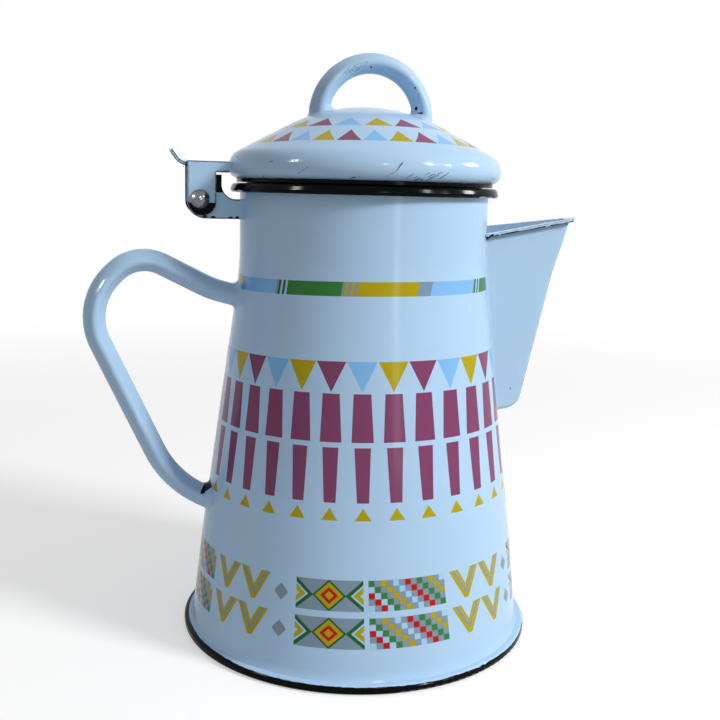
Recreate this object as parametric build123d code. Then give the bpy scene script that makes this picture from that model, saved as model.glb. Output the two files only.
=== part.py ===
# Enamelled steel coffee jug with a V shaped spout, a strap handle and a hinged lid.
# Millimetres. The origin is the centre of the flat base. X runs from the handle
# side to the spout, Y runs across, Z runs up the axis of the pot.

from build123d import *

import os
from math import radians, sin, sqrt, tan

# sheet thickness, steel and enamel together
pot_sheet = 1.4
lid_sheet = 1.2
spout_sheet = 1.2
tube_wall = 1.1
bracket_sheet = 1.3

# pot body, radii are outside radii
neck_r = 48.2
neck_z = 143.5
belly_r = 62.5
belly_z = 40.0
flare_r = 66.7
flare_z = 3.2
foot_r = 69.2
neck_bend = 120.0
belly_bend = 400.0
flare_bend = 7.4

# rolled rim at the top of the neck
rim_low_z = 172.4
rim_top_z = 175.8
rim_out_r = 52.2
rim_lean = 1.0
rim_top_bend = 1.3
rim_low_bend = 1.1
rim_roll_sheet = 0.9
rim_roll_gap = 0.35

# flat base, folded round the flared foot
base_r = 70.0
base_thick = 1.2
base_fold_bend = 1.1
seam_top_z = 3.4
seam_in_r = 67.0

# strainer holes through the pot wall behind the spout
strainer_hole_r = 1.75
strainer_low_z = 97.0
strainer_row_step = 7.5
strainer_rows = 8
strainer_pitch = 6.5
strainer_edge = 4.5

# spout, a folded V with its keel in front
keel_low_x = 69.3
keel_low_z = 90.0
keel_mid_x = 81.1
keel_mid_z = 143.5
keel_top_x = 87.7
keel_top_z = 164.5
keel_bend = 4.2
spout_half_angle = 22.5
spout_root_x = 15.0
spout_run_down = 20.0
spout_run_up = 50.0
spout_floor_z = 86.2
spout_floor_bend = 9.5
spout_floor_front = 0.6
spout_floor_edge = 2.4
spout_weld = 3.5
spout_weld_room = 6.0
lip_z_at_neck = 159.6
lip_slope = 0.14
lip_reach = 2.8
lip_corner = 7.8
lip_thick = 1.2

# handle, a tube rolled from sheet, round outside and flatter towards the pot
handle_wide = 15.0
handle_crown = 5.2
handle_belly = 3.1
handle_points = [(-44, 130.7), (-59.7, 134.8), (-86.9, 148.5), (-106.1, 129.3), (-74.1, 60.3), (-52, 50.2)]
handle_bends = [40.0, 13.8, 21.8, 39.8]
handle_weld = 2.3
handle_vent_x = -63.0
handle_vent_z = 55.4
handle_vent_tilt = 34.0
handle_vent_r = 1.3
vent_deep = 8.0
tube_edge_bend = 1.7
tube_flat_share = 1 / 6
seam_wide = 0.9
seam_deep = 0.5

# lid
lid_top_z = 205.6
lid_cap_bend = 64.0
lid_cap_r = 30.0
lid_r = 52.6
lid_under_z = 177.4
lid_shoulder_bend = 7.0
lid_edge_bend = 4.3
lid_bore_r = 44.6

# collar that drops into the neck
collar_flange_r = 49.6
collar_flange_thick = 1.2
collar_top_r = 45.8
collar_low_r = 44.6
collar_low_z = 167.0
collar_sheet = 1.2

# bow on top of the lid, a little nearer the spout than the middle
bow_x = 2.0
bow_r = 21.2
bow_centre_z = 201.4
bow_leg = 6.0
bow_wide = 13.0
bow_crown = 4.4
bow_belly = 3.2
bow_weld = 2.0
bow_vent_r = 0.9
bow_vent_up = 3.5
bow_vent_deep = 4.0

# hinge behind the neck, the rivet runs across along Y
rivet_x = -64.0
rivet_z = 169.5
rivet_r = 1.75
rivet_head_r = 3.5
rivet_head_high = 2.4
rivet_brim = 0.5
rivet_tail_r = 3.2
rivet_tail_high = 1.5
rivet_bevel = 0.8
rivet_play = 0.05
rivet_fast_play = 0.02
rivet_end_play = 0.12
lid_bracket_wide = 14.0
ear_r = 5.25
ear_x = -63.3
ear_z = 168.9
bracket_top_z = 183.4
bracket_side_z = 179.6
bracket_front_x = -46.0
tab_start_x = -67.9
tab_bend_x = -71.3
tab_tip_x = -74.7
tab_tip_z = 187.0
tab_bend = 6.2
tab_wide = 11.0
tab_corner = 2.8
tab_skew = 6.0
pot_bracket_wide = 10.8
pot_bracket_low_z = 162.4
pot_bracket_top_z = 178.6
pot_bracket_front_x = -55.9
pot_bracket_foot_z = 169.7
pot_bracket_back_x = -67.9
pot_bracket_back_bend = 6.0
pot_bracket_relief = 5.3

# lengths that only have to reach past what they cut, and how near counts as touching
beyond = 200.0
touching = 0.001
longest_weld_edge = 100.0


def across(face, width):
    # a solid of the given width, centred on the XZ plane
    return extrude(Plane.XZ * face, width / 2, both=True)


def turned(face):
    # a solid turned about the axis of the pot
    return revolve(Plane.XZ * face, Axis.Z, 360)


def crossbore(radius):
    # a rod along the hinge axis
    return Pos(rivet_x, 0, rivet_z) * Rot(90, 0, 0) * Cylinder(radius, beyond)


def corner_at(face, x, z):
    return face.vertices().sort_by_distance((x, z))[0]


def pot_outline():
    # outside of the pot from the foot up to the top of the neck
    return FilletPolyline(
        (foot_r, base_thick),
        (flare_r, flare_z),
        (belly_r, belly_z),
        (neck_r, neck_z),
        (neck_r, rim_top_z),
        radius=[flare_bend, belly_bend, neck_bend],
    )


def pot_filled():
    # everything inside the outside surface of the pot
    edge = pot_outline()
    closing = Polyline((neck_r, rim_top_z), (0, rim_top_z), (0, base_thick), (foot_r, base_thick))
    return turned(make_face(edge + closing))


def rim_section():
    # the sheet rolls outwards and down, and its edge stops just short of the neck
    inner_r = neck_r - pot_sheet
    bead = make_face(Polyline(
        (inner_r, rim_low_z),
        (inner_r, rim_top_z),
        (rim_out_r - rim_lean, rim_top_z),
        (rim_out_r, rim_low_z),
        close=True,
    ))
    bead = fillet(bead.vertices().sort_by(Axis.Y)[2:], rim_top_bend)
    bead = fillet(corner_at(bead, rim_out_r, rim_low_z), rim_low_bend)
    past_neck = Pos(1.5 * neck_r, rim_low_z) * Rectangle(neck_r, neck_r)
    hollow = offset(bead, -rim_roll_sheet) & past_neck
    slit = Pos(neck_r + rim_roll_gap / 2, rim_low_z) * Rectangle(rim_roll_gap, 3 * rim_roll_sheet)
    return bead - hollow - slit


def lean(low_x, low_z, high_x, high_z):
    # how far the keel goes forward for each millimetre that it rises
    return (high_x - low_x) / (high_z - low_z)


def strainer_holes():
    # rows of holes that fill the wedge of wall covered by the spout
    keel_lean = lean(keel_low_x, keel_low_z, keel_mid_x, keel_mid_z)
    holes = []
    for row in range(strainer_rows):
        z = strainer_low_z + row * strainer_row_step
        keel_x = keel_low_x + (z - keel_low_z) * keel_lean
        half = (keel_x - neck_r) * tan(radians(spout_half_angle)) - strainer_edge
        count = 1 + 2 * int(half / strainer_pitch)
        for place in range(count):
            y = (place - (count - 1) / 2) * strainer_pitch
            holes.append(Pos(neck_r, y, z) * Rot(0, 90, 0) * Cylinder(strainer_hole_r, neck_r))
    return holes


def body_shell():
    sheet = make_face(offset(pot_outline(), pot_sheet, side=Side.LEFT))
    above_base = Pos(0, base_thick + beyond / 2) * Rectangle(beyond, beyond)
    pot = turned((sheet & above_base) + rim_section())
    for hole in strainer_holes():
        pot -= hole
    return pot


def base_pan():
    disc = Pos(base_r / 2, base_thick / 2) * Rectangle(base_r, base_thick)
    fold = Pos((base_r + seam_in_r) / 2, seam_top_z / 2) * Rectangle(base_r - seam_in_r, seam_top_z)
    section = disc + fold
    section = fillet(section.vertices().sort_by(Axis.X)[-2:], base_fold_bend)
    return turned(section) - pot_filled()


def spout_prism(inset, bend):
    # the V section pulled along the keel, moved inwards by the inset
    half = radians(spout_half_angle)
    apex = keel_low_x + keel_bend * (1 / sin(half) - 1) - inset / sin(half)
    spread = (apex - spout_root_x) * tan(half)
    face = make_face(Polyline(
        (apex, 0),
        (spout_root_x, spread),
        (spout_root_x, -spread),
        close=True,
    ))
    face = fillet(corner_at(face, apex, 0), bend)
    low_lean = lean(keel_low_x, keel_low_z, keel_mid_x, keel_mid_z)
    top_lean = lean(keel_mid_x, keel_mid_z, keel_top_x, keel_top_z)
    low_rise = keel_mid_z - keel_low_z + spout_run_down
    low = Pos(-low_lean * spout_run_down, 0, keel_low_z - spout_run_down) * face
    low = extrude(low, amount=low_rise * sqrt(1 + low_lean ** 2), dir=(low_lean, 0, 1))
    top = Pos(keel_mid_x - keel_low_x, 0, keel_mid_z) * face
    top = extrude(top, amount=spout_run_up * sqrt(1 + top_lean ** 2), dir=(top_lean, 0, 1))
    return low + top


def above(z_at_neck, slope):
    # a big block above a plane that rises towards the spout
    tilt = Plane(origin=(neck_r, 0, z_at_neck), x_dir=(1, 0, slope), z_dir=(-slope, 0, 1))
    return tilt * Pos(0, 0, beyond / 2) * Box(2 * beyond, 2 * beyond, beyond)


def spout_side(inset):
    # the spout from the side, with a floor that bends up in a wide curve to just ahead of the keel
    low_lean = lean(keel_low_x, keel_low_z, keel_mid_x, keel_mid_z)
    ahead = spout_floor_front - inset * sqrt(1 + low_lean ** 2)
    floor_z = spout_floor_z + inset
    front_x = [keel_low_x + (z - keel_low_z) * low_lean + ahead for z in (floor_z, beyond)]
    under = FilletPolyline(
        (spout_root_x, floor_z),
        (front_x[0], floor_z),
        (front_x[1], beyond),
        radius=spout_floor_bend - inset,
    )
    return make_face(under + Polyline((front_x[1], beyond), (spout_root_x, beyond), (spout_root_x, floor_z)))


def spout_body(inset):
    # the spout as a solid with a rounded floor
    body = spout_prism(inset, keel_bend - inset) & across(spout_side(inset), beyond)
    low = spout_floor_z + 2 * spout_floor_bend
    boxes = [(edge, edge.bounding_box()) for edge in body.edges()]
    rims = [edge for edge, box in boxes if box.max.Z < low and box.size.X > touching]
    return fillet(rims, spout_floor_edge - inset)


def spout_shell():
    core = pot_filled()
    outer = spout_body(0) - above(lip_z_at_neck + spout_weld_room, lip_slope)
    outer = welded_onto(outer, core, spout_weld)
    lip = spout_prism(-lip_reach, lip_corner) & above(lip_z_at_neck - lip_thick, lip_slope)
    shell = outer + lip - spout_body(spout_sheet)
    return shell - above(lip_z_at_neck, lip_slope) - core


def tube_section(wide, crown, belly):
    # a round crown on the outer side, two flats that meet at the seam on the inner side
    half = wide / 2
    flat = half * tube_flat_share
    outer = ThreePointArc((-half, 0), (0, -crown), (half, 0))
    inner = Polyline((half, 0), (flat, belly), (-flat, belly), (-half, 0))
    face = make_face(outer + inner)
    sides = face.vertices().sort_by(Axis.X)
    return fillet([sides[0], sides[-1]], tube_edge_bend)


def rolled_tube(path, wide, crown, belly):
    # outside, hollow and seam groove of a tube along a path in the XZ plane
    start = Plane(origin=path @ 0, x_dir=(0, 1, 0), z_dir=path % 0)
    section = tube_section(wide, crown, belly)
    hollow = offset(section, -tube_wall)
    groove = Pos(0, belly) * Rectangle(seam_wide, 2 * seam_deep)
    return [sweep(start * face, path=path) for face in (section, hollow, groove)]


def welded_onto(piece, core, bend):
    # the piece outside the core, with a smooth weld where their surfaces meet
    joined = piece + core
    skin = core.faces()
    meeting = []
    for edge in joined.edges():
        spots = [Vertex(*(edge @ share)) for share in (0, 0.35, 0.7, 1)]
        on_skin = all(min(spot.distance_to(face) for face in skin) < touching for spot in spots)
        if on_skin and edge.length < longest_weld_edge:
            meeting.append(edge)
    return fillet(meeting, bend) - core


def handle_tube():
    path = Plane.XZ * FilletPolyline(*handle_points, radius=handle_bends)
    outside, hollow, groove = rolled_tube(path, handle_wide, handle_crown, handle_belly)
    core = pot_filled()
    tube = welded_onto(outside, core, handle_weld) - hollow - groove - core
    vent = Pos(0, 0, vent_deep / 2) * Cylinder(handle_vent_r, vent_deep)
    return tube - Pos(handle_vent_x, 0, handle_vent_z) * Rot(0, handle_vent_tilt, 0) * vent


def lid_cap_at(r):
    # height of the round cap of the lid at a radius
    return lid_top_z - lid_cap_bend + sqrt(lid_cap_bend ** 2 - r ** 2)


def lid_outline():
    # the cap runs on as a straight cone to the shoulder, then down and in under the edge
    cap_z = lid_cap_at(lid_cap_r)
    slope = lid_cap_r / sqrt(lid_cap_bend ** 2 - lid_cap_r ** 2)
    half_r = lid_cap_r / 2
    cap = ThreePointArc((0, lid_top_z), (half_r, lid_cap_at(half_r)), (lid_cap_r, cap_z))
    skirt = FilletPolyline(
        (lid_cap_r, cap_z),
        (lid_r, cap_z - slope * (lid_r - lid_cap_r)),
        (lid_r, lid_under_z),
        (lid_bore_r, lid_under_z),
        radius=[lid_shoulder_bend, lid_edge_bend],
    )
    return cap + skirt


def lid_filled():
    # everything under the outside surface of the lid
    closing = Polyline((lid_bore_r, lid_under_z), (0, lid_under_z), (0, lid_top_z))
    return turned(make_face(lid_outline() + closing))


def lid_dome():
    return turned(make_face(offset(lid_outline(), lid_sheet, side=Side.RIGHT)))


def lid_collar():
    flange_low = lid_under_z - collar_flange_thick
    section = make_face(Polyline(
        (lid_bore_r, lid_under_z),
        (collar_flange_r, lid_under_z),
        (collar_flange_r, flange_low),
        (collar_top_r, flange_low),
        (collar_low_r, collar_low_z),
        (collar_low_r - collar_sheet, collar_low_z),
        close=True,
    ))
    return turned(section)


def lid_bow():
    # two short legs and a half ring, welded onto the cap
    foot = bow_centre_z - bow_leg
    back = bow_x - bow_r
    front = bow_x + bow_r
    path = Plane.XZ * (
        Line((back, foot), (back, bow_centre_z))
        + ThreePointArc((back, bow_centre_z), (bow_x, bow_centre_z + bow_r), (front, bow_centre_z))
        + Line((front, bow_centre_z), (front, foot))
    )
    outside, hollow, groove = rolled_tube(path.wire(), bow_wide, bow_crown, bow_belly)
    cap = Pos(0, 0, lid_top_z - lid_cap_bend) * Sphere(lid_cap_bend)
    bow = welded_onto(outside, cap, bow_weld) - hollow - groove - lid_filled()
    vent = Rot(0, 90, 0) * Cylinder(bow_vent_r, bow_vent_deep)
    return bow - Pos(front - bow_belly, 0, bow_centre_z + bow_vent_up) * vent


def lid_hinge_bracket():
    # a channel over the hinge, with an ear on each side and a thumb tab behind
    plate_low = bracket_top_z - bracket_sheet
    ear_back_x = ear_x - ear_r
    ear_front_x = ear_x + ear_r
    side = make_face(Polyline(
        (bracket_front_x, plate_low),
        (bracket_front_x, bracket_side_z),
        (ear_front_x, bracket_side_z),
        (ear_front_x, ear_z),
        (ear_back_x, ear_z),
        (ear_back_x, plate_low),
        close=True,
    ))
    side += Pos(ear_x, ear_z) * Circle(ear_r)
    gap = lid_bracket_wide - 2 * bracket_sheet
    ears = across(side, lid_bracket_wide) - Pos(rivet_x, 0, rivet_z) * Box(beyond, gap, beyond)
    plate = Polyline((bracket_front_x, plate_low), (ear_back_x, plate_low))
    top = across(make_face(offset(plate, bracket_sheet, side=Side.RIGHT)), lid_bracket_wide)
    return ears + top + thumb_tab() - crossbore(rivet_r + rivet_play) - lid_filled()


def thumb_tab():
    # the tab is bent up by hand, so it leans a little to one side
    plate_low = bracket_top_z - bracket_sheet
    run = FilletPolyline(
        (tab_start_x, plate_low),
        (tab_bend_x, plate_low),
        (tab_tip_x, tab_tip_z),
        radius=tab_bend,
    )
    tab = across(make_face(offset(run, bracket_sheet, side=Side.RIGHT)), tab_wide)
    short_edges = tab.edges().filter_by(lambda edge: edge.length < 2 * bracket_sheet)
    tab = fillet(short_edges.sort_by(Axis.X)[:2], tab_corner)
    middle = Pos(tab_start_x, 0, bracket_top_z - bracket_sheet / 2)
    return middle * Rot(tab_skew, 0, 0) * middle.inverse() * tab


def body_hinge_bracket():
    # a bent sheet welded to the neck, open below and towards the pot
    inside_neck_x = 2 * pot_sheet - neck_r
    side = make_face(Polyline(
        (inside_neck_x, pot_bracket_low_z),
        (pot_bracket_back_x, pot_bracket_low_z),
        (pot_bracket_back_x, pot_bracket_top_z),
        (pot_bracket_front_x, pot_bracket_top_z),
        (pot_bracket_front_x, pot_bracket_foot_z),
        (inside_neck_x, pot_bracket_foot_z),
        close=True,
    ))
    side = fillet(corner_at(side, pot_bracket_back_x, pot_bracket_low_z), pot_bracket_back_bend)
    side = fillet(corner_at(side, pot_bracket_back_x, pot_bracket_top_z), pot_bracket_back_bend)
    side = fillet(corner_at(side, pot_bracket_front_x, pot_bracket_foot_z), pot_bracket_relief)
    inside_wide = pot_bracket_wide - 2 * bracket_sheet
    inside_top_z = pot_bracket_top_z - bracket_sheet
    inside = Pos(rivet_x, 0, inside_top_z - beyond / 2) * Box(beyond, inside_wide, beyond)
    bracket = across(side, pot_bracket_wide) - inside
    return bracket - crossbore(rivet_r + rivet_fast_play) - pot_filled()


def hinge_rivet():
    # a shank with a round head on the near side and a bevelled tail on the far side
    half = lid_bracket_wide / 2 + rivet_end_play
    shank = Cylinder(rivet_r, 2 * half)
    tail = Pos(0, 0, half + rivet_tail_high / 2) * Cylinder(rivet_tail_r, rivet_tail_high)
    tail = chamfer(tail.edges().group_by(Axis.Z)[-1], rivet_bevel)
    brim = Pos(0, 0, -half - rivet_brim / 2) * Cylinder(rivet_head_r, rivet_brim)
    dome_high = rivet_head_high - rivet_brim
    dome_r = (rivet_head_r ** 2 + dome_high ** 2) / (2 * dome_high)
    ball = Pos(0, 0, -half - rivet_head_high + dome_r) * Sphere(dome_r)
    past_brim = Pos(0, 0, -half - rivet_brim - dome_r) * Box(4 * dome_r, 4 * dome_r, 2 * dome_r)
    rivet = shank + tail + brim + (ball & past_brim)
    return Pos(rivet_x, 0, rivet_z) * Rot(-90, 0, 0) * rivet


pieces = {
    "body_shell": body_shell,
    "base_pan": base_pan,
    "spout_shell": spout_shell,
    "handle_tube": handle_tube,
    "body_hinge_bracket": body_hinge_bracket,
    "hinge_rivet": hinge_rivet,
    "lid_dome": lid_dome,
    "lid_collar": lid_collar,
    "lid_bow": lid_bow,
    "lid_hinge_bracket": lid_hinge_bracket,
}

os.makedirs("parts", exist_ok=True)
for name, make in pieces.items():
    export_step(make(), os.path.join("parts", name + ".step"))
    print(name)
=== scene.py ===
# The enamelled coffee jug with its hinged lid, dressed for a soft studio picture.
from math import cos, radians, sin

import bpy
from mathutils import Matrix, Vector

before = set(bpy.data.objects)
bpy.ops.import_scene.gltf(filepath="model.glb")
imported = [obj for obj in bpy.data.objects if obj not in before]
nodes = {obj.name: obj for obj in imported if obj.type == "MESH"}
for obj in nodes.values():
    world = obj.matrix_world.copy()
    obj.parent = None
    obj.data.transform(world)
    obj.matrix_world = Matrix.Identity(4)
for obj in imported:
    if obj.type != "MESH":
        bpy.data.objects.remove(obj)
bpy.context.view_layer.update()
print("frame loaded,", len(nodes), "pieces")

millimetres = 1000.0  # in a metre, the patterns and marks are placed in millimetres


# colours, linear, as they are under plain light
enamelWhite = (0.472, 0.682, 0.915, 1)
enamelBlack = (0.0012, 0.0017, 0.0024, 1)
printPlum = (0.236, 0.059, 0.148, 1)
printYellow = (0.475, 0.375, 0.002, 1)
printBlue = (0.230, 0.520, 0.900, 1)
printGreen = (0.042, 0.220, 0.042, 1)
printDarkGreen = (0.014, 0.125, 0.026, 1)
printGrey = (0.230, 0.322, 0.420, 1)
printSlate = (0.170, 0.330, 0.500, 1)
printRed = (0.540, 0.007, 0.006, 1)
printPale = (0.400, 0.640, 0.860, 1)


# small tools for building node trees

def feed(tree, socket, value):
    if isinstance(value, bpy.types.NodeSocket):
        tree.links.new(value, socket)
    else:
        socket.default_value = value


def calc(tree, operation, *values):
    node = tree.nodes.new("ShaderNodeMath")
    node.operation = operation
    for socket, value in zip(node.inputs, values):
        feed(tree, socket, value)
    return node.outputs[0]


def both(tree, first, *others):
    # a mask that needs every one of the masks
    for other in others:
        first = calc(tree, "MULTIPLY", first, other)
    return first


def either(tree, first, *others):
    for other in others:
        first = calc(tree, "MAXIMUM", first, other)
    return first


def opposite(tree, mask):
    return calc(tree, "SUBTRACT", 1.0, mask)


def minus(tree, value):
    return calc(tree, "MULTIPLY", value, -1.0)


def offBy(tree, value, middle):
    # how far a value is from a middle, either way
    return calc(tree, "ABSOLUTE", calc(tree, "SUBTRACT", value, middle))


def between(tree, value, low, high):
    return both(tree, calc(tree, "GREATER_THAN", value, low), calc(tree, "LESS_THAN", value, high))


def isNumber(tree, value, number):
    # whether a value is a whole number, give or take a tenth
    return calc(tree, "COMPARE", value, number, 0.1)


def paint(tree, colour, mask, over):
    # lays a colour over another where the mask is one, through the colour sockets of the mix node
    node = tree.nodes.new("ShaderNodeMix")
    node.data_type = "RGBA"
    feed(tree, node.inputs[0], mask)
    feed(tree, node.inputs[6], over)
    feed(tree, node.inputs[7], colour)
    return node.outputs[2]


def smooth(tree, value, fromLow, fromHigh, toLow, toHigh):
    node = tree.nodes.new("ShaderNodeMapRange")
    node.interpolation_type = "SMOOTHSTEP"
    for socket, each in zip(node.inputs, (value, fromLow, fromHigh, toLow, toHigh)):
        feed(tree, socket, each)
    return node.outputs[0]


def noise(tree, place, scale, detail=2.0, roughness=0.5):
    # a detail of 1 is smooth and one of 3 is grainy
    node = tree.nodes.new("ShaderNodeTexNoise")
    feed(tree, node.inputs["Vector"], place)
    feed(tree, node.inputs["Scale"], scale)
    node.inputs["Detail"].default_value = detail
    node.inputs["Roughness"].default_value = roughness
    return node.outputs["Fac"]


def swing(tree, place, scale, detail=2.0):
    # noise about zero
    return calc(tree, "SUBTRACT", noise(tree, place, scale, detail), 0.5)


def objectPlace(tree):
    return tree.nodes.new("ShaderNodeTexCoord").outputs["Object"]


def newGroup(name, takes, gives):
    # takes holds each input with its start value, a number or a colour, and gives the kind of each output
    tree = bpy.data.node_groups.new(name, "ShaderNodeTree")
    for label, start in takes.items():
        kind = "Color" if isinstance(start, tuple) else "Float"
        socket = tree.interface.new_socket(label, in_out="INPUT", socket_type="NodeSocket" + kind)
        socket.default_value = start
    for label, kind in gives.items():
        tree.interface.new_socket(label, in_out="OUTPUT", socket_type="NodeSocket" + kind)
    return tree, tree.nodes.new("NodeGroupInput").outputs, tree.nodes.new("NodeGroupOutput").inputs


def use(tree, group, **values):
    node = tree.nodes.new("ShaderNodeGroup")
    node.node_tree = group
    for label, value in values.items():
        feed(tree, node.inputs[label], value)
    return node.outputs


# shared groups

def makeSurfacePlace():
    # where a point is on the jug: degrees round from the front, height, radius, and millimetres towards
    # the spout and to the far side, with whether the surface faces outwards
    outputs = ("angle", "height", "radius", "along", "aside", "outward")
    tree, _, gives = newGroup("surface place", {}, dict.fromkeys(outputs, "Float"))
    split = tree.nodes.new("ShaderNodeSeparateXYZ")
    feed(tree, split.inputs[0], objectPlace(tree))
    x, y, z = split.outputs
    feed(tree, gives["angle"], calc(tree, "DEGREES", calc(tree, "ARCTAN2", x, minus(tree, y))))
    squares = calc(tree, "ADD", calc(tree, "MULTIPLY", x, x), calc(tree, "MULTIPLY", y, y))
    for label, metres in (("height", z), ("along", x), ("aside", y), ("radius", calc(tree, "SQRT", squares))):
        feed(tree, gives[label], calc(tree, "MULTIPLY", metres, millimetres))
    normal = tree.nodes.new("ShaderNodeSeparateXYZ")
    feed(tree, normal.inputs[0], tree.nodes.new("ShaderNodeNewGeometry").outputs["Normal"])
    outX, outY = (calc(tree, "MULTIPLY", part, axis) for part, axis in zip(normal.outputs, (x, y)))
    feed(tree, gives["outward"], calc(tree, "GREATER_THAN", calc(tree, "ADD", outX, outY), 0.0))
    return tree


def makeAround():
    # divides the turn into steps: degrees from the middle of the nearest step, and its number
    tree, takes, gives = newGroup("around", {"angle": 0.0, "middle": 0.0, "step": 12.0},
                                  {"offset": "Float", "number": "Float"})
    turns = calc(tree, "DIVIDE", calc(tree, "SUBTRACT", takes["angle"], takes["middle"]), takes["step"])
    number = calc(tree, "ROUND", turns)
    feed(tree, gives["number"], number)
    left = calc(tree, "SUBTRACT", turns, number)
    feed(tree, gives["offset"], calc(tree, "MULTIPLY", left, takes["step"]))
    return tree


def makeTaper():
    # a printed shape with straight sides: a triangle or a bar that widens
    takes = {"offset": 0.0, "height": 0.0, "low": 0.0, "high": 1.0, "low half": 1.0, "high half": 1.0}
    tree, takes, gives = newGroup("tapered mark", takes, {"mask": "Float"})
    share = calc(tree, "DIVIDE", calc(tree, "SUBTRACT", takes["height"], takes["low"]),
                 calc(tree, "SUBTRACT", takes["high"], takes["low"]))
    inside = between(tree, share, 0.0, 1.0)
    widen = calc(tree, "SUBTRACT", takes["high half"], takes["low half"])
    half = calc(tree, "MULTIPLY_ADD", share, widen, takes["low half"])
    narrow = calc(tree, "LESS_THAN", calc(tree, "ABSOLUTE", takes["offset"]), half)
    feed(tree, gives["mask"], both(tree, inside, narrow))
    return tree


def makeThree():
    # one of three colours by number, repeating
    takes = {"number": 0.0, "first": printBlue, "second": printYellow, "third": printPlum}
    tree, takes, gives = newGroup("one of three", takes, {"colour": "Color"})
    turn = calc(tree, "FLOORED_MODULO", takes["number"], 3.0)
    colour = takes["first"]
    for count, label in enumerate(("second", "third"), 1):
        colour = paint(tree, takes[label], isNumber(tree, turn, count), colour)
    feed(tree, gives["colour"], colour)
    return tree


finer = 6.0  # how many times smaller the second unevenness of a dipped edge is


def makeRaggedEdge():
    # a mask below a limit, with the uneven edge that dipped enamel leaves
    takes = {"value": 0.0, "limit": 0.0, "sway": 0.5, "scale": 150.0, "fine": 0.2}
    tree, takes, gives = newGroup("ragged edge", takes, {"mask": "Float"})
    place = objectPlace(tree)
    slow = swing(tree, place, takes["scale"])
    fast = swing(tree, place, calc(tree, "MULTIPLY", takes["scale"], finer))
    pushed = calc(tree, "MULTIPLY_ADD", slow, takes["sway"], takes["value"])
    pushed = calc(tree, "MULTIPLY_ADD", fast, takes["fine"], pushed)
    feed(tree, gives["mask"], calc(tree, "LESS_THAN", pushed, takes["limit"]))
    return tree


def makeSpecks():
    # a few tiny round pits, spread at random
    tree, takes, gives = newGroup("specks", {"scale": 60.0, "size": 0.03, "share": 0.1}, {"mask": "Float"})
    cells = tree.nodes.new("ShaderNodeTexVoronoi")
    feed(tree, cells.inputs["Vector"], objectPlace(tree))
    feed(tree, cells.inputs["Scale"], takes["scale"])
    pick = tree.nodes.new("ShaderNodeSeparateColor")
    feed(tree, pick.inputs[0], cells.outputs["Color"])
    # each cell has random values, one picks the cells with a pit and one sets its size
    reach = calc(tree, "MULTIPLY", takes["size"], pick.outputs[1])
    near = calc(tree, "LESS_THAN", cells.outputs["Distance"], reach)
    feed(tree, gives["mask"], both(tree, near, calc(tree, "LESS_THAN", pick.outputs[0], takes["share"])))
    return tree


def leaned(tree, across, up, lean):
    # a place along and aside of a line that leans by some degrees
    lean = calc(tree, "RADIANS", lean)
    cosine = calc(tree, "COSINE", lean)
    sine = calc(tree, "SINE", lean)
    along = calc(tree, "ADD", calc(tree, "MULTIPLY", across, cosine), calc(tree, "MULTIPLY", up, sine))
    aside = calc(tree, "SUBTRACT", calc(tree, "MULTIPLY", up, cosine), calc(tree, "MULTIPLY", across, sine))
    return along, aside


# the scales are of the noise that bends, narrows and breaks the line
scratchLook = {"bendScale": 220.0, "bend": 0.9, "grainScale": 900.0, "breakScale": 420.0, "breaks": 0.42}


def makeScratch():
    # one broken scratch, placed by angle and height on the jug
    look = scratchLook
    takes = {"angle": 0.0, "height": 0.0, "at angle": 0.0, "at height": 0.0, "radius": 50.0, "length": 8.0,
             "lean": 45.0, "width": 0.2}
    tree, takes, gives = newGroup("scratch", takes, {"mask": "Float"})
    across = calc(tree, "RADIANS", calc(tree, "SUBTRACT", takes["angle"], takes["at angle"]))
    across = calc(tree, "MULTIPLY", across, takes["radius"])
    up = calc(tree, "SUBTRACT", takes["height"], takes["at height"])
    along, aside = leaned(tree, across, up, takes["lean"])
    place = objectPlace(tree)
    bend = calc(tree, "MULTIPLY", swing(tree, place, look["bendScale"]), look["bend"])
    aside = calc(tree, "ABSOLUTE", calc(tree, "ADD", aside, bend))
    grain = noise(tree, place, look["grainScale"], 1.0)
    fit = calc(tree, "LESS_THAN", aside, calc(tree, "MULTIPLY", takes["width"], grain))
    half = calc(tree, "MULTIPLY", takes["length"], 0.5)
    ends = calc(tree, "LESS_THAN", calc(tree, "ABSOLUTE", along), half)
    broken = calc(tree, "GREATER_THAN", noise(tree, place, look["breakScale"], 1.0), look["breaks"])
    feed(tree, gives["mask"], both(tree, fit, ends, broken))
    return tree


# solid and gone are how far out the spot is full and where it ends, as a share of its size
spotLook = {"scale": 700.0, "uneven": 0.8, "solid": 0.7, "gone": 1.15}


def makeSpot():
    # a small leaning oval on the near side, by millimetres along and up
    look = spotLook
    takes = {"along": 0.0, "height": 0.0, "aside": 0.0, "at along": 0.0, "at height": 0.0, "half long": 1.0,
             "half high": 1.0, "lean": 0.0}
    tree, takes, gives = newGroup("spot", takes, {"mask": "Float"})
    across = calc(tree, "SUBTRACT", takes["along"], takes["at along"])
    up = calc(tree, "SUBTRACT", takes["height"], takes["at height"])
    long, high = leaned(tree, across, up, takes["lean"])
    long = calc(tree, "DIVIDE", long, takes["half long"])
    high = calc(tree, "DIVIDE", high, takes["half high"])
    away = calc(tree, "ADD", calc(tree, "MULTIPLY", long, long), calc(tree, "MULTIPLY", high, high))
    uneven = swing(tree, objectPlace(tree), look["scale"], 1.0)
    away = calc(tree, "MULTIPLY_ADD", uneven, look["uneven"], away)
    near = calc(tree, "LESS_THAN", takes["aside"], 0.0)
    feed(tree, gives["mask"], both(tree, near, smooth(tree, away, look["solid"], look["gone"], 1.0, 0.0)))
    return tree


wearLook = {"samples": 6, "patchFrom": 0.3, "patchTo": 0.7, "starts": 0.03, "full": 0.09}


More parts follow.
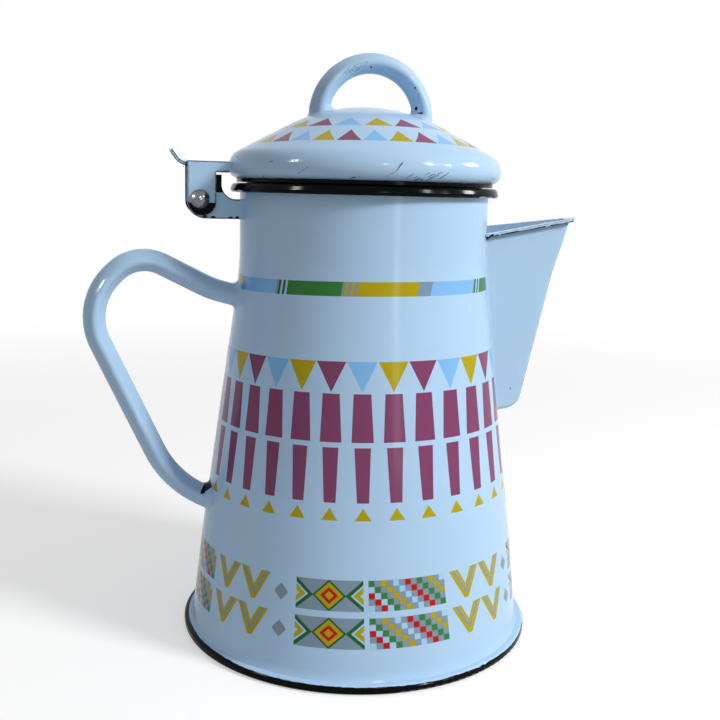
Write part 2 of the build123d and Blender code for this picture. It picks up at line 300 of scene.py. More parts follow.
def makeEdgeWear():
    # sharp edges, where the white coat is thin and the dark ground coat shows
    look = wearLook
    takes = {"reach": 0.0005, "amount": 0.5, "scale": 300.0, "least": 0.0}
    tree, takes, gives = newGroup("edge wear", takes, {"mask": "Float"})
    geometry = tree.nodes.new("ShaderNodeNewGeometry")
    rounded = tree.nodes.new("ShaderNodeBevel")
    rounded.samples = look["samples"]
    feed(tree, rounded.inputs["Radius"], takes["reach"])
    compare = tree.nodes.new("ShaderNodeVectorMath")
    compare.operation = "DOT_PRODUCT"
    feed(tree, compare.inputs[0], rounded.outputs["Normal"])
    feed(tree, compare.inputs[1], geometry.outputs["Normal"])
    # the further the rounded edge turns the surface, the sharper it is
    turned = opposite(tree, compare.outputs["Value"])
    patchy = noise(tree, objectPlace(tree), takes["scale"], 3.0)
    patchy = smooth(tree, patchy, look["patchFrom"], look["patchTo"], takes["least"], 1.0)
    wear = calc(tree, "MULTIPLY", turned, calc(tree, "MULTIPLY", patchy, takes["amount"]))
    feed(tree, gives["mask"], smooth(tree, wear, look["starts"], look["full"], 0.0, 1.0))
    return tree


skinScales = {"wave": 45.0, "peel": 420.0, "tone": 22.0}


def makeEnamelSkin():
    # the slow waves and faint orange peel of fired enamel, and a slight change of tone
    tree, takes, gives = newGroup("enamel skin", {"wave": 0.5, "peel": 0.1},
                                  {"height": "Float", "tone": "Float"})
    place = objectPlace(tree)
    waves, peel = (calc(tree, "MULTIPLY", noise(tree, place, skinScales[name], 1.0), takes[name])
                   for name in ("wave", "peel"))
    feed(tree, gives["height"], calc(tree, "ADD", waves, peel))
    feed(tree, gives["tone"], noise(tree, place, skinScales["tone"], 3.0))
    return tree


surfacePlace = makeSurfacePlace()
around = makeAround()
taper = makeTaper()
oneOfThree = makeThree()
raggedEdge = makeRaggedEdge()
specks = makeSpecks()
scratch = makeScratch()
spot = makeSpot()
edgeWear = makeEdgeWear()
enamelSkin = makeEnamelSkin()
print("shared node groups ready")


# printed pattern on the pot, angles in degrees and heights in millimetres

transfer = {
    "front": -14.0, "middle": 85.0, "reach": 60.0,
    # in each, the first is the same all round, the next goes by the sine of the angle from the front,
    # and the last by how far round it is
    "turn": (12.19, 1.94, -3.35), "turnByHeight": (1.72, -2.41, -1.32),
    "sheer": (-0.14, -3.57),
    # without the one that is the same all round
    "rise": (0.71, -0.80),
}


def drift(tree, wave, bend, steady, sideways, bowed):
    # a slow change round the jug
    return calc(tree, "MULTIPLY_ADD", bend, bowed, calc(tree, "MULTIPLY_ADD", wave, sideways, steady))


def transferPlace(tree, place):
    # the print was laid by hand, so it drifts a few degrees as it goes round and up
    look = transfer
    phase = calc(tree, "RADIANS", calc(tree, "SUBTRACT", place["angle"], look["front"]))
    wave = calc(tree, "SINE", phase)
    bend = opposite(tree, calc(tree, "COSINE", phase))
    up = calc(tree, "DIVIDE", calc(tree, "SUBTRACT", place["height"], look["middle"]), look["reach"])
    turn = calc(tree, "MULTIPLY_ADD", up, drift(tree, wave, bend, *look["turnByHeight"]),
                drift(tree, wave, bend, *look["turn"]))
    sheer = calc(tree, "MULTIPLY_ADD", wave, look["sheer"][1], look["sheer"][0])
    turn = calc(tree, "MULTIPLY_ADD", calc(tree, "MULTIPLY", up, up), sheer, turn)
    rise = drift(tree, wave, calc(tree, "MULTIPLY", wave, wave), 0.0, *look["rise"])
    return {"angle": calc(tree, "ADD", place["angle"], turn),
            "height": calc(tree, "SUBTRACT", place["height"], rise)}


stripeBand = {
    "low": 137.75, "high": 142.8, "start": -38.1, "repeat": 30.0, "slant": 0.22, "slantFrom": 140.0,
    "group": 5.87, "parts": 5, "lines": (1, 3),
}


def pickOfThree(tree, number, first, second, third):
    return use(tree, oneOfThree, number=number, first=first, second=second, third=third)["colour"]


def paintStripeBand(tree, place, under):
    # a thin striped group, then a broad block, in three colours by turns
    look = stripeBand
    above = calc(tree, "SUBTRACT", place["height"], look["slantFrom"])
    angle = calc(tree, "SUBTRACT", place["angle"], calc(tree, "MULTIPLY", above, look["slant"]))
    half = look["repeat"] / 2
    unit = use(tree, around, angle=angle, middle=look["start"] + half, step=look["repeat"])
    into = calc(tree, "ADD", unit["offset"], half)
    block = pickOfThree(tree, unit["number"], printGreen, printYellow, printBlue)
    lines = pickOfThree(tree, unit["number"], printDarkGreen, printYellow, printSlate)
    gaps = pickOfThree(tree, unit["number"], printPale, printGrey, printGrey)
    # the group's parts count from 0, then comes the block
    part = calc(tree, "FLOOR", calc(tree, "DIVIDE", into, look["group"] / look["parts"]))
    colour = paint(tree, gaps, calc(tree, "LESS_THAN", part, look["parts"] - 0.5), block)
    colour = paint(tree, printGrey, calc(tree, "LESS_THAN", part, 0.5), colour)
    for line in look["lines"]:
        colour = paint(tree, lines, isNumber(tree, part, line), colour)
    return paint(tree, colour, between(tree, place["height"], look["low"], look["high"]), under)


bars = {
    "middle": 0.0, "step": 12.0,
    "pennants": {"low": 104.7, "high": 115.3, "lowHalf": 0.0, "highHalf": 5.86},
    "upperBars": {"low": 87.3, "high": 104.15, "lowHalf": 4.14, "highHalf": 3.34},
    "lowerBars": {"low": 66.3, "high": 85.5, "lowHalf": 2.17, "highHalf": 3.05},
    "points": {"low": 60.1, "high": 64.6, "lowHalf": 2.96, "highHalf": 0.0},
}


def markRow(tree, unit, height, row):
    mark = use(tree, taper, offset=unit["offset"], height=height, low=row["low"], high=row["high"],
               **{"low half": row["lowHalf"], "high half": row["highHalf"]})
    return mark["mask"]


def paintBars(tree, place, under):
    # pennants in three colours, two rows of plum bars and a row of yellow points
    unit = use(tree, around, angle=place["angle"], middle=bars["middle"], step=bars["step"])
    flags = use(tree, oneOfThree, number=unit["number"])["colour"]
    rows = {"pennants": flags, "upperBars": printPlum, "lowerBars": printPlum, "points": printYellow}
    for row, colour in rows.items():
        under = paint(tree, colour, markRow(tree, unit, place["height"], bars[row]), under)
    return under


# widths and places across in degrees from the start of the repeat, heights as a share of the row
bottomBand = {
    "start": -32.6, "repeat": 90.0, "rows": [(28.3, 39.35), (14.9, 25.95)],
    "diamond": {"middle": 4.2, "half": 2.75, "cut": 0.88, "centre": 0.45, "tall": 0.283},
    "panel": {
        "left": 9.7, "right": 32.35, "reach": 0.243,
        # from the outermost step in, as a share of the whole
        "chevrons": [(1.02, printDarkGreen), (0.72, printPale), (0.57, printYellow), (0.20, printPale)],
        "rings": [(1.03, printDarkGreen), (0.86, printYellow), (0.55, printRed), (0.28, printYellow)]},
    "checks": {"left": 34.0, "right": 60.7, "columns": 13, "rows": 5, "lineFrom": 0.44,
               "line": (0.10, 0.16, 0.17, 1), "lineStrength": 0.25},
    # each line of the V as its distance from the middle at the top, and how fast it runs in
    "vees": {"middles": (69.5, 83.0), "outer": (6.68, 5.80), "inner": (2.90, 5.60),
             "coreOuter": (5.58, 6.64), "coreInner": (4.48, 6.50)},
}


def shareAcross(tree, across, look):
    # 0 at the left side of a field and 1 at its right
    return calc(tree, "DIVIDE", calc(tree, "SUBTRACT", across, look["left"]), look["right"] - look["left"])


def paintDiamond(tree, across, share, under):
    # a grey diamond, its side corners cut off short
    look = bottomBand["diamond"]
    side = calc(tree, "DIVIDE", offBy(tree, across, look["middle"]), look["half"])
    up = calc(tree, "DIVIDE", offBy(tree, share, look["centre"]), look["tall"])
    inside = both(tree, calc(tree, "LESS_THAN", calc(tree, "ADD", side, up), 1.0),
                  calc(tree, "LESS_THAN", side, look["cut"]))
    return paint(tree, printGrey, inside, under)


def paintPanel(tree, across, share, under):
    # grey panel with a ringed diamond in the middle and nested chevrons at both ends
    look = bottomBand["panel"]
    along = shareAcross(tree, across, look)
    up = calc(tree, "MULTIPLY", offBy(tree, share, 0.5), 2.0)
    fromMiddle = offBy(tree, along, 0.5)
    ring = calc(tree, "ADD", calc(tree, "DIVIDE", fromMiddle, look["reach"]), up)
    fromEnd = calc(tree, "SUBTRACT", 0.5, fromMiddle)
    chevron = calc(tree, "ADD", calc(tree, "DIVIDE", fromEnd, 0.5 - look["reach"]), up)
    colour = printGrey
    for distance, steps in ((chevron, look["chevrons"]), (ring, look["rings"])):
        for limit, tone in steps:
            colour = paint(tree, tone, calc(tree, "LESS_THAN", distance, limit), colour)
    return paint(tree, colour, between(tree, along, 0.0, 1.0), under)


def paintChecks(tree, across, share, under):
    # squares whose colours step down to the right
    look = bottomBand["checks"]
    along = shareAcross(tree, across, look)
    column = calc(tree, "MULTIPLY", along, look["columns"])
    row = calc(tree, "MULTIPLY", opposite(tree, share), look["rows"])
    step = calc(tree, "SUBTRACT", calc(tree, "FLOOR", column), calc(tree, "FLOOR", row))
    order = [printPale, printGrey, printRed, printPale, printGreen, printGrey,
             printYellow, printGrey, printPale, printGrey, printRed, printGrey,
             printGreen, printGrey, printYellow, printGrey, printPale]
    ramp = tree.nodes.new("ShaderNodeValToRGB")
    ramp.color_ramp.interpolation = "CONSTANT"
    stops = ramp.color_ramp.elements
    while len(stops) < len(order):
        stops.new(0.5)
    for count, (stop, tone) in enumerate(zip(stops, order)):
        stop.position = count / len(order)
        stop.color = tone
    firstStep = 1 - look["rows"]
    feed(tree, ramp.inputs[0], calc(tree, "DIVIDE", calc(tree, "ADD", step, 0.5 - firstStep), len(order)))
    colour = ramp.outputs[0]
    # faint darker lines between the squares
    lines = []
    for value in (column, row):
        part = offBy(tree, calc(tree, "FRACT", value), 0.5)
        lines.append(calc(tree, "GREATER_THAN", part, look["lineFrom"]))
    line = calc(tree, "MULTIPLY", either(tree, *lines), look["lineStrength"])
    colour = paint(tree, look["line"], line, colour)
    return paint(tree, colour, between(tree, along, 0.0, 1.0), under)


def paintVees(tree, across, share, under):
    # two V shapes side by side, yellow with a grey core, their strokes wider at the top
    look = bottomBand["vees"]
    down = opposite(tree, share)
    lines = {}
    for name in ("outer", "inner", "coreOuter", "coreInner"):
        top, fall = look[name]
        lines[name] = calc(tree, "MULTIPLY_ADD", down, -fall, top)
    for middle in look["middles"]:
        side = offBy(tree, across, middle)
        under = paint(tree, printYellow, between(tree, side, lines["inner"], lines["outer"]), under)
        under = paint(tree, printGrey, between(tree, side, lines["coreInner"], lines["coreOuter"]), under)
    return under


def paintBottomBand(tree, place, under):
    # two rows of the same fields, each height made a share of its row
    look = bottomBand
    turn = calc(tree, "SUBTRACT", place["angle"], look["start"])
    across = calc(tree, "FLOORED_MODULO", turn, look["repeat"])
    colour = under
    inBand = None
    share = None
    for low, high in look["rows"]:
        inRow = between(tree, place["height"], low, high)
        rowShare = calc(tree, "DIVIDE", calc(tree, "SUBTRACT", place["height"], low), high - low)
        rowShare = both(tree, rowShare, inRow)
        inBand = inRow if inBand is None else either(tree, inBand, inRow)
        share = rowShare if share is None else calc(tree, "ADD", share, rowShare)
    for painter in (paintDiamond, paintPanel, paintChecks, paintVees):
        colour = painter(tree, across, share, colour)
    return paint(tree, colour, inBand, under)


# printed rows on the lid, by angle and radius

lidRows = {
    "front": -14.0, "sag": (0.53, -1.40),
    # the points of the triangles are at the low radius, their bases at the high one
    "outer": {"turn": (9.5, -1.2, -2.2), "step": 12.0, "low": 35.6, "high": 43.3, "lowHalf": 0.0,
              "highHalf": 5.75, "lean": 3.6, "colours": (printBlue, printYellow, printPlum)},
    "inner": {"turn": (5.8, 1.8, -3.0), "step": 20.0, "low": 26.4, "high": 32.4, "lowHalf": 0.0,
              "highHalf": 9.5, "lean": 0.0, "colours": (printYellow, printPlum, printBlue)},
}


def paintLidRows(tree, place, under):
    # two rings of triangles that point to the middle and drift as the print on the pot does
    phase = calc(tree, "RADIANS", calc(tree, "SUBTRACT", place["angle"], lidRows["front"]))
    wave = calc(tree, "SINE", phase)
    bend = calc(tree, "MULTIPLY", wave, wave)
    radius = calc(tree, "ADD", place["radius"], drift(tree, wave, bend, 0.0, *lidRows["sag"]))
    for name in ("outer", "inner"):
        row = lidRows[name]
        inwards = calc(tree, "DIVIDE", calc(tree, "SUBTRACT", row["high"], radius), row["high"] - row["low"])
        slip = calc(tree, "MULTIPLY", calc(tree, "MULTIPLY", wave, inwards), -row["lean"])
        angle = calc(tree, "ADD", place["angle"], drift(tree, wave, bend, *row["turn"]))
        angle = calc(tree, "ADD", angle, slip)
        unit = use(tree, around, angle=angle, middle=0.0, step=row["step"])
        colour = pickOfThree(tree, unit["number"], *row["colours"])
        under = paint(tree, colour, markRow(tree, unit, radius, row), under)
    return under


# materials

def newMaterial(name):
    material = bpy.data.materials.new(name)
    material.use_nodes = True
    tree = material.node_tree
    return material, tree, tree.nodes["Principled BSDF"].inputs


def layBlack(tree, shader, black, white):
    # black enamel over the white, without the clear gloss that the white has on top
    feed(tree, shader["Base Color"], paint(tree, enamelBlack, black, white))
    feed(tree, shader["Coat Weight"], calc(tree, "MULTIPLY", opposite(tree, black), enamelLook["clear"]))


def roughen(tree, shader, height, strength, distance):
    bump = tree.nodes.new("ShaderNodeBump")
    bump.inputs["Strength"].default_value = strength
    bump.inputs["Distance"].default_value = distance
    feed(tree, bump.inputs["Height"], height)
    feed(tree, shader["Normal"], bump.outputs["Normal"])


def glaze(tree, shader, look):
    # the gloss of fired enamel, with its slight unevenness
    skin = use(tree, enamelSkin, wave=look["wave"], peel=look["peel"])
    roughen(tree, shader, skin["height"], look["bump"], look["deep"])
    shader["Roughness"].default_value = look["roughness"]
    shader["Specular IOR Level"].default_value = look["specular"]
    shader["Coat Weight"].default_value = look["clear"]
    shader["Coat Roughness"].default_value = look["roughness"]
    return skin["tone"]


def dimmed(colour, share):
    return tuple(each * share for each in colour[:3]) + (1,)


enamelLook = {"roughness": 0.13, "specular": 0.045, "clear": 0.12, "wave": 0.6, "peel": 0.04, "bump": 0.25,
              "deep": 0.0004, "toneChange": 0.06, "toneFrom": 0.3, "toneTo": 0.7, "toneMost": 0.5}


def enamelBase(name, look=enamelLook, paintedShade=1.0):
    # a glossy white enamel, ready to be painted on
    # the white is dimmed by this share, painted shade for a piece that gets less light
    white = dimmed(enamelWhite, paintedShade)
    material, tree, shader = newMaterial(name)
    tone = smooth(tree, glaze(tree, shader, look), look["toneFrom"], look["toneTo"], 0.0, look["toneMost"])
    return material, tree, shader, paint(tree, dimmed(white, 1 - look["toneChange"]), tone, white)


pitLook = {"scale": 60.0, "size": 0.04, "share": 0.06, "strength": 0.8}


def paintPits(tree, colour, **changes):
    # tiny dark pits in the white, spread at random
    look = {**pitLook, **changes}
    pit = use(tree, specks, scale=look["scale"], size=look["size"], share=look["share"])["mask"]
    return paint(tree, enamelBlack, calc(tree, "MULTIPLY", pit, look["strength"]), colour)


def spotMask(tree, place, spots):
    # each spot is along, height, half long, half high, lean
    masks = []
    for atAlong, atHeight, halfLong, halfHigh, lean in spots:
        one = use(tree, spot, along=place["along"], height=place["height"], aside=place["aside"], lean=lean,
                  **{"at along": atAlong, "at height": atHeight, "half long": halfLong,
                     "half high": halfHigh})
        masks.append(one["mask"])
    return either(tree, *masks)


def paintSpots(tree, place, spots, under):
    return paint(tree, enamelBlack, spotMask(tree, place, spots), under)


def ragged(tree, value, limit, look):
    # below a limit, with the look's own sway and scale
    mask = use(tree, raggedEdge, value=value, limit=limit, sway=look["sway"], scale=look["scale"],
               fine=look["fine"])
    return mask["mask"]


potLook = {
    "pits": {"scale": 55.0, "size": 0.035, "share": 0.05},
    "rim": {"above": 171.9, "sway": 0.8, "scale": 90.0, "fine": 0.5, "outside": 48.3, "insideAbove": 174.6},
    "chips": {"below": 172.8, "sway": 1.6, "scale": 150.0, "fine": 0.8,
              "places": ((40.0, 95.0), (-92.0, -76.0))},
    "bareOnRim": [(-50.2, 172.6, 1.0, 0.6, 0)],
}


def potEnamel():
    material, tree, shader, colour = enamelBase("pot enamel")
    place = use(tree, surfacePlace)
    printPlace = transferPlace(tree, place)
    printed = colour
    for painter in (paintStripeBand, paintBars, paintBottomBand):
        printed = painter(tree, printPlace, printed)
    # the print is on the outside only
    colour = paintPits(tree, paint(tree, printed, place["outward"], colour), **potLook["pits"])
    # black rim, chipped white along its lower edge
    rim = potLook["rim"]
    dipped = ragged(tree, minus(tree, place["height"]), -rim["above"], rim)
    outside = calc(tree, "GREATER_THAN", place["radius"], rim["outside"])
    inside = calc(tree, "GREATER_THAN", place["height"], rim["insideAbove"])
    black = either(tree, both(tree, dipped, outside), inside)
    chips = potLook["chips"]
    chipped = ragged(tree, place["height"], chips["below"], chips)
    ends = either(tree, *(between(tree, place["angle"], *reach) for reach in chips["places"]))
    bare = either(tree, both(tree, chipped, ends, outside), spotMask(tree, place, potLook["bareOnRim"]))
    layBlack(tree, shader, both(tree, black, opposite(tree, bare)), colour)
    return material


lidLook = {
    "printAbove": 184.0, "scratchColour": (0.045, 0.05, 0.06, 1), "strength": 0.85, "radius": 52.5,
    # angle, height, length, lean, width
    "scratches": [
        (-1.1, 182.2, 3.8, 49, 0.42), (-3.9, 179.8, 3.6, 37, 0.20), (3.3, 179.1, 2.6, 33, 0.28),
        (5.6, 178.7, 2.4, 28, 0.22), (7.5, 178.5, 4.0, 22, 0.30), (9.4, 179.7, 3.6, 30, 0.24),
        (11.5, 179.4, 6.8, 25, 0.32), (13.0, 178.8, 4.4, 26, 0.26), (13.9, 179.8, 4.9, 28, 0.32),
        (16.4, 179.2, 2.6, 33, 0.24), (18.0, 179.9, 3.4, 38, 0.28), (-58.5, 178.3, 4.6, 18, 0.18),
        (-38.3, 180.1, 6.0, 28, 0.15), (-18.5, 178.2, 2.8, 18, 0.24), (-17.2, 178.6, 3.0, 12, 0.16),
        (-52.7, 183.1, 2.4, 8, 0.22),
    ],
}


def lidEnamel():
    # printed on top, scratched round its lower edge
    material, tree, shader, colour = enamelBase("lid enamel")
    place = use(tree, surfacePlace)
    printed = paintLidRows(tree, place, colour)
    look = lidLook
    colour = paint(tree, printed, calc(tree, "GREATER_THAN", place["height"], look["printAbove"]), colour)
    scratches = []
    for atAngle, atHeight, length, lean, width in look["scratches"]:
        one = use(tree, scratch, angle=place["angle"], height=place["height"], length=length, lean=lean,
                  width=width, radius=look["radius"], **{"at angle": atAngle, "at height": atHeight})
        scratches.append(one["mask"])
    worn = calc(tree, "MULTIPLY", either(tree, *scratches), look["strength"])
    colour = paint(tree, look["scratchColour"], worn, colour)
    feed(tree, shader["Base Color"], paintPits(tree, colour))
    return material


handleLook = {
    "pits": {"share": 0.08},
    # black ovals painted as shade where the lower weld leaves a gap open
    "weldGapShade": [(-61.7, 57.9, 2.9, 0.95, 33), (-60.4, 58.9, 1.9, 0.5, 38)],
}


def handleEnamel():
    # plain, with black ovals painted as the shade inside the gap left open in the lower weld
    material, tree, shader, colour = enamelBase("handle enamel")
    colour = paintPits(tree, colour, **handleLook["pits"])
    colour = paintSpots(tree, use(tree, surfacePlace), handleLook["weldGapShade"], colour)
    feed(tree, shader["Base Color"], colour)
    return material


bowLook = {
    "enamel": dict(enamelLook, bump=0.8, wave=1.2, peel=0.20, toneChange=0.22),
    "pits": {"scale": 70.0, "size": 0.035, "share": 0.10},
    "spots": [(0.2, 220.1, 0.32, 0.32, 0), (17.6, 213.3, 0.32, 0.3, 0), (20.2, 204.1, 0.9, 0.38, -8),
              (19.0, 205.9, 0.35, 0.75, 0), (19.2, 211.0, 0.2, 0.2, 0)],
    "filed": {"patch": [(-6.0, 219.3, 5.5, 1.3, 27)], "colour": (0.12, 0.16, 0.20, 1), "strength": 0.5,
              "gritScale": 1500.0, "gritAbove": 0.52},
}


def bowEnamel():
    # pitted, with a rough grey patch where the roll was filed
    look = bowLook
    material, tree, shader, colour = enamelBase("bow enamel", look["enamel"])
    place = use(tree, surfacePlace)
    filed = look["filed"]
    grit = calc(tree, "GREATER_THAN", noise(tree, objectPlace(tree), filed["gritScale"]), filed["gritAbove"])
    rough = both(tree, spotMask(tree, place, filed["patch"]), grit)
    colour = paint(tree, filed["colour"], calc(tree, "MULTIPLY", rough, filed["strength"]), colour)
    colour = paintSpots(tree, place, look["spots"], paintPits(tree, colour, **look["pits"]))
    feed(tree, shader["Base Color"], colour)
    return material


bracketLook = {
    "wear": {"reach": 0.0013, "amount": 2.6, "scale": 320.0, "least": 0.25},
    "dip": {"sway": 0.8, "scale": 120.0, "fine": 0.3},
    # each bracket's own heights of black, where its welded end begins, and black blobs along its foot
    "neck": {"blackBelow": 0.0, "blackAbove": 172.0, "weldAt": -49.0,
             "spots": [(-50.1, 163.0, 0.7, 0.5, 0), (-52.6, 163.0, 0.9, 0.35, 0),
                       (-59.0, 163.0, 0.9, 0.4, 0), (-62.0, 163.3, 1.0, 0.45, 0)]},
    "lid": {"blackBelow": 168.3, "blackAbove": 300.0, "weldAt": -53.2, "spots": []},
}


def bracketEnamel(side):
    # thin sheet with black showing along its edges, and dipped black below one height and above another
    look = bracketLook
    own = look[side]
    material, tree, shader, colour = enamelBase(side + " bracket enamel")
    place = use(tree, surfacePlace)
    worn = use(tree, edgeWear, **look["wear"])["mask"]
    # the welded end has no bare edge
    black = both(tree, worn, calc(tree, "LESS_THAN", place["along"], own["weldAt"]))
    upsideDown = minus(tree, place["height"])
    for value, limit in ((place["height"], own["blackBelow"]), (upsideDown, -own["blackAbove"])):
        black = either(tree, black, ragged(tree, value, limit, look["dip"]))
    if own["spots"]:
        black = either(tree, black, spotMask(tree, place, own["spots"]))
    layBlack(tree, shader, black, colour)
    return material


spoutLook = {
    # the spout's white dimmed by this share as painted shade, for the less light it gets; its enamel is the
    # pot's
    "paintedShade": 0.87,
    # the lip's upper face, as in the solid: height at the neck, and rise towards the tip
    "neck": 48.2, "lipAtNeck": 159.6, "lipRise": 0.14,
    # the black line, by how far it is below that face
    "lineFrom": 0.85, "lineTo": 1.5, "line": {"sway": 1.0, "scale": 130.0, "fine": 0.15},
    "gapScale": 170.0, "gapBelow": 0.42, "wear": {"reach": 0.0006, "amount": 1.0, "scale": 280.0},
    "spots": [(63.0, 95.25, 0.35, 0.3, 0), (44.6, 157.9, 1.6, 0.9, 35), (43.6, 156.9, 1.0, 0.6, 50)],
}


def spoutEnamel():
    # white, dimmed below the pot's white as painted shade, with a broken black line under the lip
    look = spoutLook
    material, tree, shader, colour = enamelBase("spout enamel", paintedShade=look["paintedShade"])
    place = use(tree, surfacePlace)
    fromNeck = calc(tree, "SUBTRACT", place["along"], look["neck"])
    lipTop = calc(tree, "MULTIPLY_ADD", fromNeck, look["lipRise"], look["lipAtNeck"])
    below = calc(tree, "SUBTRACT", lipTop, place["height"])
    started = ragged(tree, minus(tree, below), -look["lineFrom"], look["line"])
    unbroken = calc(tree, "GREATER_THAN", noise(tree, objectPlace(tree), look["gapScale"]), look["gapBelow"])
    line = both(tree, started, calc(tree, "LESS_THAN", below, look["lineTo"]), place["outward"], unbroken)
    worn = use(tree, edgeWear, **look["wear"])["mask"]
    worn = both(tree, worn, calc(tree, "LESS_THAN", below, look["lineTo"]))
    colour = paint(tree, enamelBlack, either(tree, line, worn), colour)
    colour = paintSpots(tree, place, look["spots"], colour)
    feed(tree, shader["Base Color"], paintPits(tree, colour))
    return material


blackLook = {"roughness": 0.10, "specular": 0.045, "clear": 0.0, "bump": 0.35, "deep": 0.0004, "wave": 0.8,
             "peel": 0.08, "paler": (0.003, 0.004, 0.006, 1)}
baseWhite = {
    # where the foot's edge lies, and how far past it the white runs, from the handle round to the front
    "footRadius": 67.0, "footHeight": 3.4, "from": -85.0, "to": -30.0, "least": 1.25, "most": 3.15,
    "edge": {"sway": 0.9, "scale": 90.0, "fine": 0.6}, "insideRadius": 64.0, "bottomHeight": 0.3,
}


def blackEnamel(name, whiteRunsOver=False):
    material, tree, shader = newMaterial(name)
    tone = glaze(tree, shader, blackLook)
    colour = paint(tree, blackLook["paler"], tone, enamelBlack)
    if whiteRunsOver:
        # the white of the pot runs on over the edge, measured outwards and down from the foot
        place = use(tree, surfacePlace)
        white = baseWhite
        away = calc(tree, "ADD", calc(tree, "SUBTRACT", place["radius"], white["footRadius"]),
                    calc(tree, "SUBTRACT", white["footHeight"], place["height"]))
        limit = smooth(tree, place["angle"], white["from"], white["to"], white["least"], white["most"])
        over = ragged(tree, calc(tree, "SUBTRACT", away, limit), 0.0, white["edge"])
        # the flat underneath stays black
        over = both(tree, over, calc(tree, "GREATER_THAN", place["radius"], white["insideRadius"]),
                    calc(tree, "GREATER_THAN", place["height"], white["bottomHeight"]))
        colour = paint(tree, enamelWhite, over, colour)
        feed(tree, shader["Coat Weight"], calc(tree, "MULTIPLY", over, enamelLook["clear"]))
    feed(tree, shader["Base Color"], colour)
    return material


rivetLook = {
    "grainScale": 900.0, "grainRoughness": 0.6, "dullScale": 260.0, "bump": 0.35, "deep": 0.0002,
    "dark": (0.05, 0.055, 0.06, 1), "light": (0.27, 0.28, 0.30, 1),
    "dullFrom": 0.3, "dullTo": 0.7, "smoothest": 0.15, "roughest": 0.35,
}


def rivetSteel():
    # worn steel, dull in patches
    look = rivetLook
    material, tree, shader = newMaterial("rivet steel")
    place = objectPlace(tree)
    grain = noise(tree, place, look["grainScale"], 3.0, look["grainRoughness"])
    dull = noise(tree, place, look["dullScale"], 3.0)
    roughen(tree, shader, dull, look["bump"], look["deep"])
    feed(tree, shader["Base Color"], paint(tree, look["dark"], grain, look["light"]))
    feed(tree, shader["Roughness"], smooth(tree, dull, look["dullFrom"], look["dullTo"], look["smoothest"],
                                           look["roughest"]))
    shader["Metallic"].default_value = 1.0
    return material


finishes = {
    "body_shell": potEnamel(),
    "base_pan": blackEnamel("base enamel", whiteRunsOver=True),
    "spout_shell": spoutEnamel(),
    "handle_tube": handleEnamel(),
    "body_hinge_bracket": bracketEnamel("neck"),
    "hinge_rivet": rivetSteel(),
    "lid_dome": lidEnamel(),
    "lid_collar": blackEnamel("collar enamel"),
    "lid_bow": bowEnamel(),
    "lid_hinge_bracket": bracketEnamel("lid"),
}
for name, material in finishes.items():
    slots = nodes[name].material_slots
    if len(slots) == 0:
        nodes[name].data.materials.append(material)
    for slot in slots:
        slot.material = material
print("materials on", len(finishes), "pieces")


# studio

# the photograph's view, in metres and degrees
viewpoint = {"distance": 0.3827, "height": 0.1729, "bearing": 14.0, "down": 9.76, "roll": 1.45, "lens": 48.3,
             "sensor": 36.0}


def fromCamera(bearing, elevation, distance, about):
    # a place round a point, its bearing in degrees to the right of the camera
    turn = radians(bearing - viewpoint["bearing"])
    level = cos(radians(elevation))
    return about + distance * Vector((sin(turn) * level, -cos(turn) * level, sin(radians(elevation))))


def addCamera():
    look = viewpoint
    data = bpy.data.cameras.new("camera")
    data.lens = look["lens"]
    data.sensor_width = look["sensor"]
    camera = bpy.data.objects.new("camera", data)
    bpy.context.scene.collection.objects.link(camera)
    place = Vector((-sin(radians(look["bearing"])), -cos(radians(look["bearing"])), 0)) * look["distance"]
    place.z = look["height"]
    sideways = Matrix.Rotation(radians(-look["bearing"]), 4, "Z")
    downwards = Matrix.Rotation(radians(90 - look["down"]), 4, "X")
    roll = Matrix.Rotation(radians(look["roll"]), 4, "Z")
    camera.matrix_world = Matrix.Translation(place) @ (sideways @ downwards) @ roll
    bpy.context.scene.camera = camera


lampsAim = Vector((0, 0, 0.13))
# bearing and elevation in degrees, distance, width and height in metres, power in watts
lamps = {
    # the key lights the surfaces and is left out of reflections, the others only reflect
    "key": (64, 33, 1.3, 0.26, 0.26, 12.3),
    "windowLeft": (-61, 25, 1.6, 0.17, 0.34, 16.0),
    "windowMiddle": (17, 20, 1.6, 0.11, 0.17, 5.2),
    "windowRight": (56, 25, 1.6, 0.15, 0.34, 14.0),
    "windowSide": (72, 21, 1.6, 0.16, 0.20, 9.0),
    "windowFar": (101, 23, 1.6, 0.30, 0.30, 22.0),
    "streak": (30, 4, 1.6, 0.17, 0.42, 1.5),
}


def addLamps():
    for name, (bearing, elevation, distance, wide, tall, power) in lamps.items():
        data = bpy.data.lights.new(name, "AREA")
        data.shape = "RECTANGLE"
        data.size = wide
        data.size_y = tall
        data.energy = power
        lamp = bpy.data.objects.new(name, data)
        bpy.context.scene.collection.objects.link(lamp)
        lamp.location = fromCamera(bearing, elevation, distance, lampsAim)
        lamp.rotation_euler = (lampsAim - lamp.location).to_track_quat("-Z", "Y").to_euler()
        lamp.visible_glossy = name != "key"
        lamp.visible_diffuse = name == "key"


room = {"brightBearing": 75, "brightElevation": 10, "darkFrom": -0.7, "dark": 0.335, "bright": 0.43}


def seenBare(tree):
    # rays that see the backdrop itself, straight, in a gloss or through glass, and not its light
    rays = tree.nodes.new("ShaderNodeLightPath").outputs
    return either(tree, rays["Is Camera Ray"], rays["Is Glossy Ray"], rays["Is Transmission Ray"])


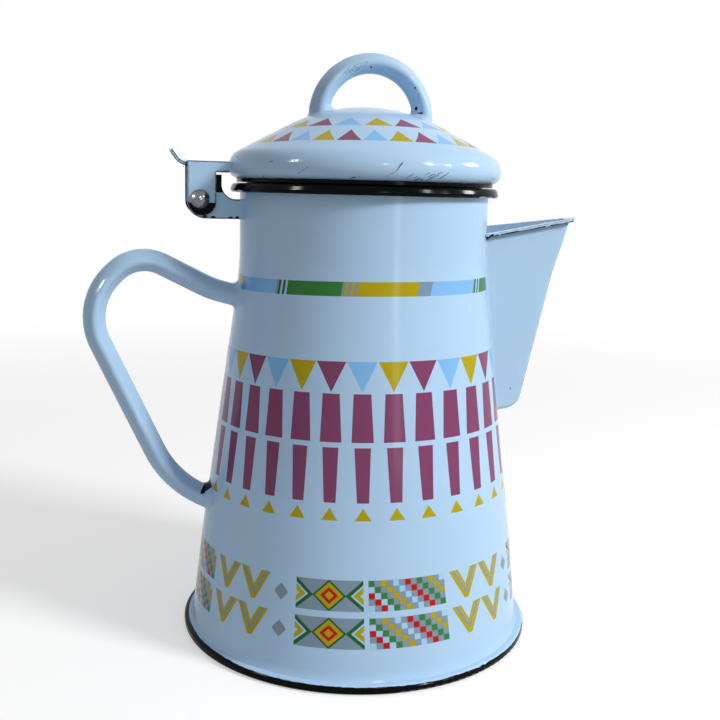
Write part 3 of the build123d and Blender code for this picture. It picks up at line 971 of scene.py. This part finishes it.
def addWorld():
    # pale light that grows from the left to the right, behind a white backdrop
    world = bpy.data.worlds.new("studio")
    world.use_nodes = True
    bpy.context.scene.world = world
    tree = world.node_tree
    background = tree.nodes["Background"]
    background.inputs["Color"].default_value = (1, 1, 1, 1)
    towards = fromCamera(room["brightBearing"], room["brightElevation"], 1.0, Vector((0, 0, 0)))
    compare = tree.nodes.new("ShaderNodeVectorMath")
    compare.operation = "DOT_PRODUCT"
    feed(tree, compare.inputs[0], tree.nodes.new("ShaderNodeTexCoord").outputs["Generated"])
    compare.inputs[1].default_value = towards
    level = smooth(tree, compare.outputs["Value"], room["darkFrom"], 1.0, room["dark"], room["bright"])
    feed(tree, background.inputs["Strength"], either(tree, level, seenBare(tree)))


floorLook = {"size": 6.0, "below": 0.0001, "pale": 0.70, "roughness": 0.9, "lift": 0.46, "fadeFrom": 0.25,
             "fadeTo": 1.0}


def addFloor():
    # pale floor that keeps the shadow near the jug and goes over into the white backdrop
    look = floorLook
    half = look["size"] / 2
    mesh = bpy.data.meshes.new("floor")
    corners = [(-half, -half, 0), (half, -half, 0), (half, half, 0), (-half, half, 0)]
    mesh.from_pydata(corners, [], [(0, 1, 2, 3)])
    floor = bpy.data.objects.new("floor", mesh)
    bpy.context.scene.collection.objects.link(floor)
    floor.location.z = -look["below"]
    material, tree, shader = newMaterial("pale floor")
    away = tree.nodes.new("ShaderNodeVectorMath")
    away.operation = "LENGTH"
    feed(tree, away.inputs[0], objectPlace(tree))
    fade = smooth(tree, away.outputs["Value"], look["fadeFrom"], look["fadeTo"], 0.0, 1.0)
    pale = (look["pale"],) * 3 + (1,)
    feed(tree, shader["Base Color"], paint(tree, (0, 0, 0, 1), fade, pale))
    shader["Roughness"].default_value = look["roughness"]
    shader["Specular IOR Level"].default_value = 0.0
    shader["Emission Color"].default_value = (1, 1, 1, 1)
    # near the jug only part of the white is lift, so that its shadow shows
    lift = calc(tree, "MULTIPLY_ADD", fade, 1.0 - look["lift"], look["lift"])
    feed(tree, shader["Emission Strength"], calc(tree, "MULTIPLY", seenBare(tree), lift))
    mesh.materials.append(material)


addCamera()
addLamps()
addWorld()
addFloor()
bpy.context.scene.view_settings.view_transform = "Standard"
print("studio ready")
